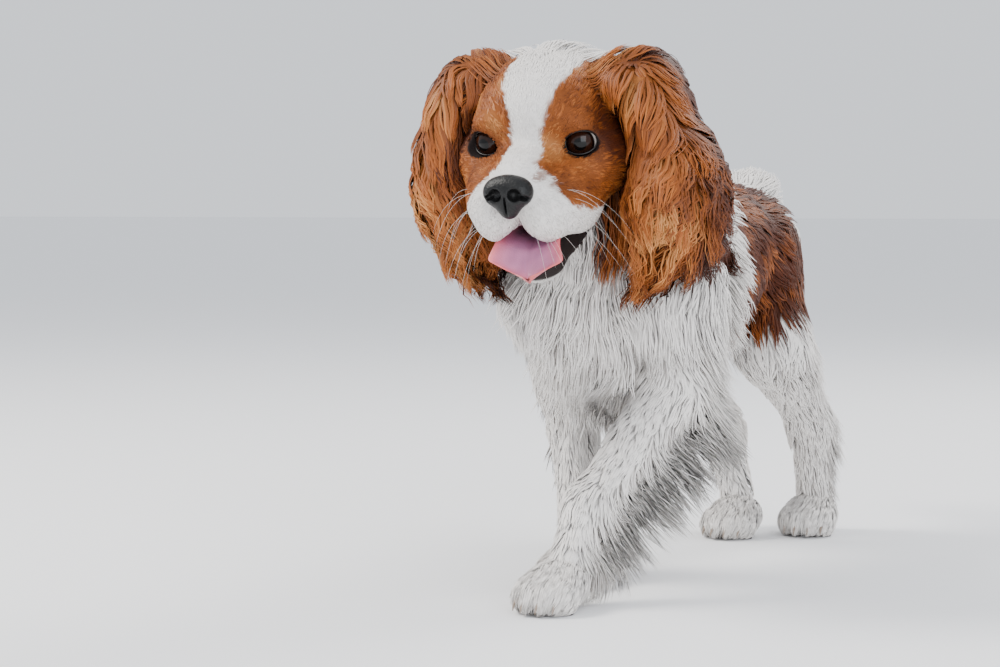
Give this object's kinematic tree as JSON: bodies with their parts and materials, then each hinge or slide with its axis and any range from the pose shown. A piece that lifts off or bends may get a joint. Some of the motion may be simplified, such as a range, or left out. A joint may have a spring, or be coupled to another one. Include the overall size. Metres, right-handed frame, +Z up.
{
  "type": "cavalier king charles spaniel",
  "caption": "Young chestnut and white spaniel, life size, walking with its mouth open, long wavy drop ears and a feathered coat.",
  "frame": {"origin": "middle of the part's box at the floor that the paws stand on", "axes": "+Z up; the dog faces -Y, and its left side is +X"},
  "size_m": [0.1978, 0.5562, 0.3406],
  "materials": {
    "coat": "long silky hair, white with chestnut patches",
    "ear_coat": "long wavy chestnut hair",
    "eye": "wet, dark brown",
    "nose": "black, finely pebbled",
    "tongue": "pink, moist"
  },
  "bodies": {
    "root": {"torso": "coat", "neck": "coat", "head": "coat", "lower_jaw": "coat", "ear_left": "ear_coat", "ear_right": "ear_coat", "foreleg_left": "coat", "foreleg_right": "coat", "hindleg_left": "coat", "hindleg_right": "coat", "forepaw_left": "coat", "forepaw_right": "coat", "hindpaw_left": "coat", "hindpaw_right": "coat", "tail": "coat", "eye_left": "eye", "eye_right": "eye", "nose": "nose", "tongue": "tongue"}
  },
  "joints": []
}
